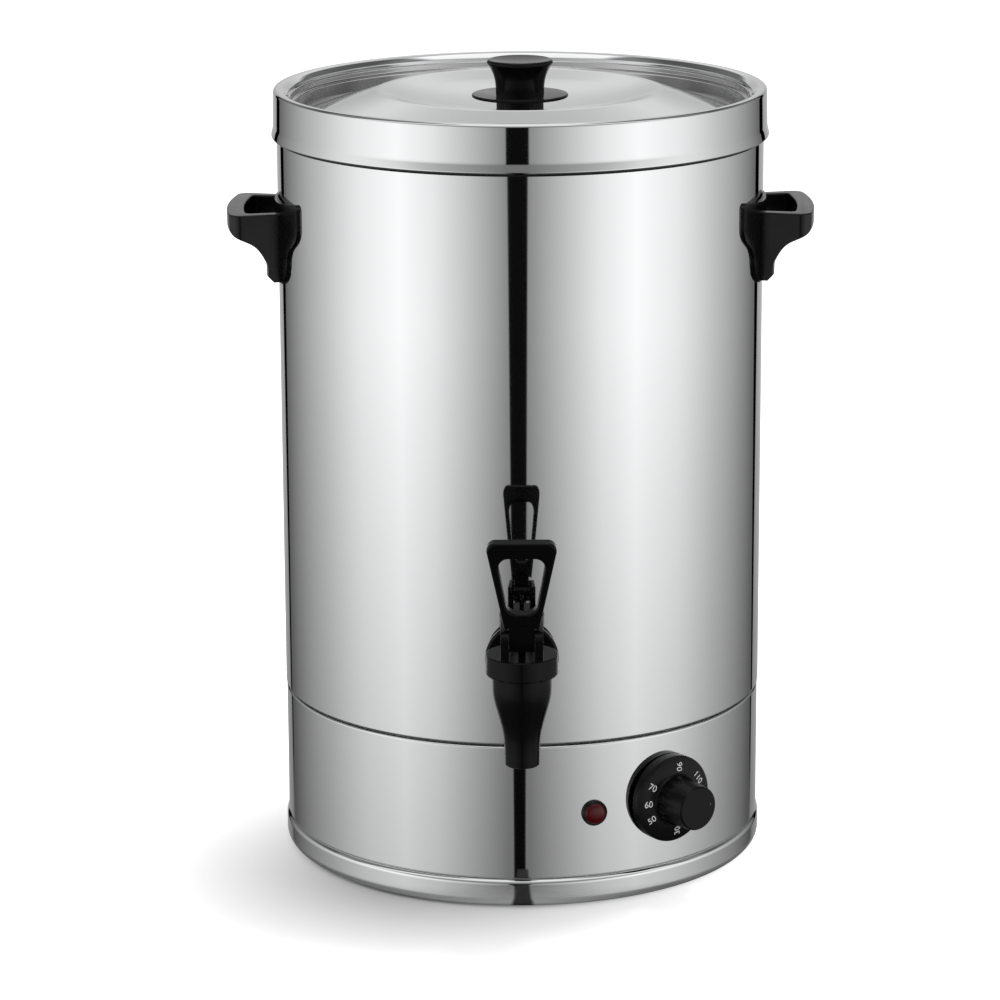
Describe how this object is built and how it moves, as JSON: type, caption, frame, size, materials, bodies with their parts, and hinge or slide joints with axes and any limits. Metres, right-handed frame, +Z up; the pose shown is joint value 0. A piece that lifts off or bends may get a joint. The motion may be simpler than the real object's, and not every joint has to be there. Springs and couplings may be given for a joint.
{
  "type": "hot water urn",
  "caption": "Tall round polished steel water boiler with a lift-off dished lid, side handles, a lever tap on the front, and a heat dial with a pilot lamp in the lower skirt.",
  "frame": {"origin": "on the floor under the feet, on the body's axis", "axes": "+Z up along the body's axis, -Y towards the front where the tap is, +X to the right as seen from the front"},
  "size_m": [0.4112, 0.436, 0.564],
  "materials": {
    "polished_steel": "mirror polished",
    "tank_steel": "bright",
    "black_plastic": "fine satin",
    "silicone": "matt",
    "nylon": "satin",
    "screw_steel": "bright",
    "plated_steel": "zinc plated",
    "phenolic": "satin",
    "terminal_white": "satin",
    "brass": "turned",
    "copper": "drawn",
    "lens_red": "clear dark red",
    "foot_rubber": "matt"
  },
  "bodies": {
    "urn": {"outer_shell": "polished_steel", "base_skirt": "polished_steel", "plinth_ring": "polished_steel", "rim_collar": "polished_steel", "inner_tank": "tank_steel", "handle_right": "black_plastic", "handle_left": "black_plastic", "handle_screws": "screw_steel", "tap_body": "black_plastic", "tap_bonnet": "black_plastic", "tap_lever_pin": "tank_steel", "tap_spring": "tank_steel", "tap_gasket": "silicone", "tap_sleeve": "nylon", "tap_seal": "silicone", "tap_nut": "nylon", "thermostat_body": "phenolic", "thermostat_screws": "screw_steel", "pilot_lamp_body": "black_plastic", "pilot_lamp_lens": "lens_red", "pilot_lamp_clip": "black_plastic", "heating_element": "tank_steel", "element_bushes": "brass", "element_seals": "silicone", "element_nuts": "brass", "thermal_cutout": "phenolic", "thermostat_bulb": "copper", "bulb_clip": "plated_steel", "base_plate": "plated_steel", "rubber_feet": "foot_rubber", "base_tabs": "plated_steel", "base_screws": "screw_steel", "cord_gland": "black_plastic", "cord_gland_nut": "black_plastic", "terminal_block": "terminal_white"},
    "lid": {"lid": "polished_steel", "lid_knob_guard": "black_plastic", "lid_knob": "black_plastic", "lid_knob_washer": "screw_steel", "lid_knob_screw": "screw_steel"},
    "lever": {"tap_lever": "black_plastic"},
    "stem": {"tap_stem": "tank_steel", "tap_seat_cup": "silicone"},
    "dial": {"control_knob": "black_plastic", "thermostat_shaft": "plated_steel"}
  },
  "joints": [
    {"name": "lid_lift", "type": "slide", "parent": "urn", "child": "lid", "axis": [0, 0, 1], "range_m": [0, 0.12]},
    {"name": "tap_lever_pull", "type": "hinge", "parent": "urn", "child": "lever", "pos_m": [0, -0.2295, 0.2104], "axis": [1, 0, 0], "range_deg": [0, 40], "stiffness_Nm_per_rad": 0.3, "springref_deg": -11.46, "deforming": ["tap_spring"]},
    {"name": "tap_stem_lift", "type": "slide", "parent": "urn", "child": "stem", "axis": [0, 0, 1], "range_m": [0, 0.0065]},
    {"name": "dial_turn", "type": "hinge", "parent": "urn", "child": "dial", "pos_m": [0.10631, -0.14525, 0.0707], "axis": [0.5906, -0.807, 0], "range_deg": [-270, 0]}
  ],
  "couplings": [
    {"joint": "tap_stem_lift", "follows": "tap_lever_pull", "m_per_rad": 0.009}
  ]
}
